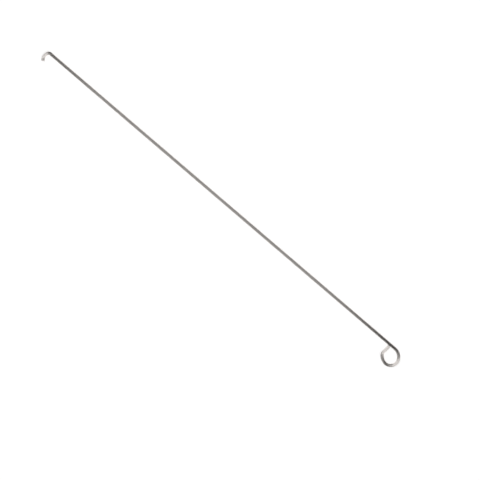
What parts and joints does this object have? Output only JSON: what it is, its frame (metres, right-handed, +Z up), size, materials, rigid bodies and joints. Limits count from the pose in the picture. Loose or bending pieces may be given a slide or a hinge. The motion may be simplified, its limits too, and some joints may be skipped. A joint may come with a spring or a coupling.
{
  "type": "awning pull rod",
  "caption": "Long straight round steel rod, bent to a finger eye at one end and a small open hook at the other, for reaching up and pulling an awning out or in.",
  "frame": {"origin": "on the surface the rod lies on, at the middle of its length and width", "axes": "+X along the shank from the hook to the eye, +Z up, and both bent ends point to -Y"},
  "size_m": [1.0668, 0.0476, 0.0079],
  "materials": {
    "bar": "bright drawn bar, smooth, with fine draw lines along it"
  },
  "bodies": {
    "root": {"pull_rod": "bar"}
  },
  "joints": []
}
